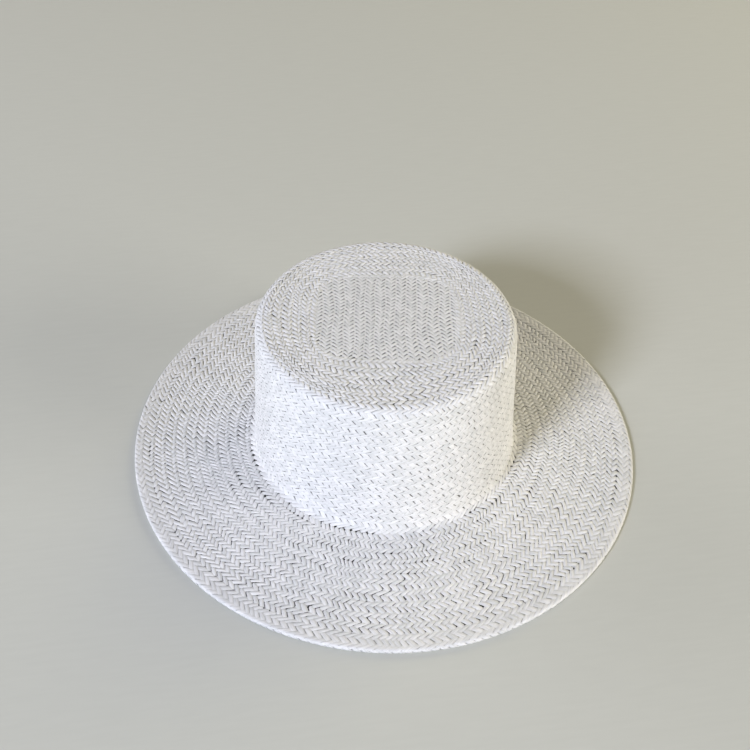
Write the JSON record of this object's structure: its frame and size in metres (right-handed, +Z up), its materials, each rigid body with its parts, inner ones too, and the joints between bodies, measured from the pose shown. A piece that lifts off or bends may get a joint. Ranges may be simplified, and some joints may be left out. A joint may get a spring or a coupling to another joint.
{
  "type": "straw hat",
  "caption": "Woven paper straw hat with a flat tip, an upright oval crown and a wide flat brim whose edge is turned under as a hem.",
  "frame": {"origin": "on the surface that the hat stands on, under the middle of the crown: the centre of the box's underside", "axes": "+Z up through the tip, Y along the head's length with the front of the hat towards -Y, X from side to side"},
  "size_m": [0.3506, 0.37, 0.108],
  "materials": {
    "bleached_straw": "matte woven paper straw, bleached white"
  },
  "bodies": {
    "root": {"woven_body": "bleached_straw"}
  },
  "joints": []
}
